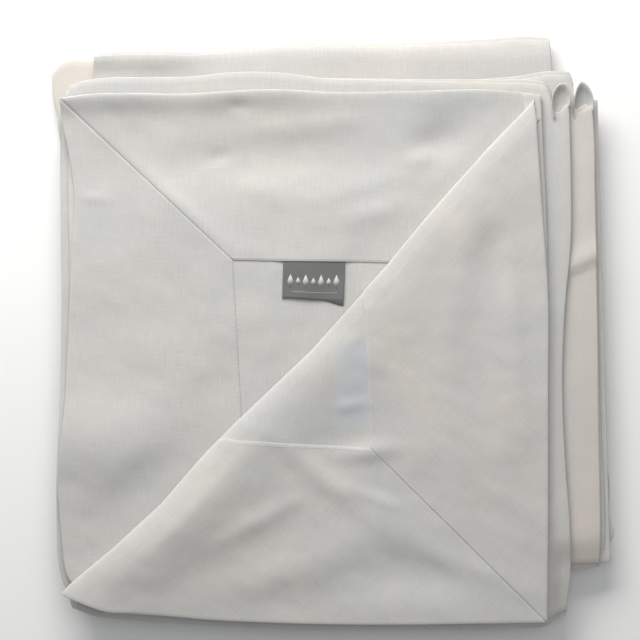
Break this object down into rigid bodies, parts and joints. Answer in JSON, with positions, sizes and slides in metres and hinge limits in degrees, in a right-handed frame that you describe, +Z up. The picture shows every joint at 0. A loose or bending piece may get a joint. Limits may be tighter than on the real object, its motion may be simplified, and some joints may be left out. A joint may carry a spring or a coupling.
{
  "type": "folded linen tablecloth",
  "caption": "Linen tablecloth with wide mitred hems and a woven label, folded to a flat stack with one corner turned back.",
  "frame": {"origin": "centre of the folded stack's outline, on the table", "axes": "+Z up from the table, through the leaves; +Y to the back edge, where the mitred cloth corners lie; +X to the right, where the leaves' folds lie"},
  "size_m": [0.463, 0.4884, 0.0313],
  "materials": {
    "linen": "washed plain-weave linen, pale warm grey, with slubs and soft creases",
    "hem_linen": "the same linen in two layers, a little smoother and fuller",
    "thread": "fine matt sewing thread in the colour of the cloth",
    "label_tape": "dark grey woven damask tape with a light grey geometric motif and no lettering"
  },
  "bodies": {
    "lower_leaves": {"folded_leaves_15_16": "linen", "folded_leaves_13_14": "linen", "folded_leaves_11_12": "linen", "folded_leaves_9_10": "linen"},
    "middle_leaves": {"folded_leaves_7_8": "linen", "folded_leaves_5_6": "linen", "folded_leaves_3_4": "linen"},
    "label_leaf": {"label_leaf_cloth": "linen", "label_leaf_left_hem": "hem_linen", "label_leaf_back_hem": "hem_linen", "label_leaf_mitre_seam": "thread", "label_leaf_hem_stitching": "thread"},
    "woven_label": {"woven_label": "label_tape"},
    "top_leaf": {"top_leaf_cloth": "linen"},
    "corner_flap": {"corner_flap_cloth": "linen", "corner_flap_front_hem": "hem_linen", "corner_flap_right_hem": "hem_linen", "corner_flap_mitre_seam": "thread", "corner_flap_hem_stitching": "thread"}
  },
  "joints": [
    {"name": "main_fold", "type": "hinge", "parent": "lower_leaves", "child": "middle_leaves", "pos_m": [0.2295, -0.19, 0.01455], "axis": [-0.0278, 0.9996, 0], "range_deg": [0, 175]},
    {"name": "front_fold", "type": "hinge", "parent": "middle_leaves", "child": "label_leaf", "pos_m": [-0.212, -0.2285, 0.0257], "axis": [0.9997, -0.0257, 0], "range_deg": [0, 160]},
    {"name": "right_fold", "type": "hinge", "parent": "label_leaf", "child": "top_leaf", "pos_m": [0.1785, -0.235, 0.0279], "axis": [-0.0128, 0.9999, 0], "range_deg": [0, 160]},
    {"name": "corner_crease", "type": "hinge", "parent": "top_leaf", "child": "corner_flap", "pos_m": [-0.206, -0.2072, 0.0294], "axis": [-0.6858, -0.7277, 0], "range_deg": [0, 160]},
    {"name": "label_seam", "type": "hinge", "parent": "label_leaf", "child": "woven_label", "pos_m": [-0.0156, 0.058, 0.0279], "axis": [-1, 0, 0], "range_deg": [0, 165]}
  ]
}
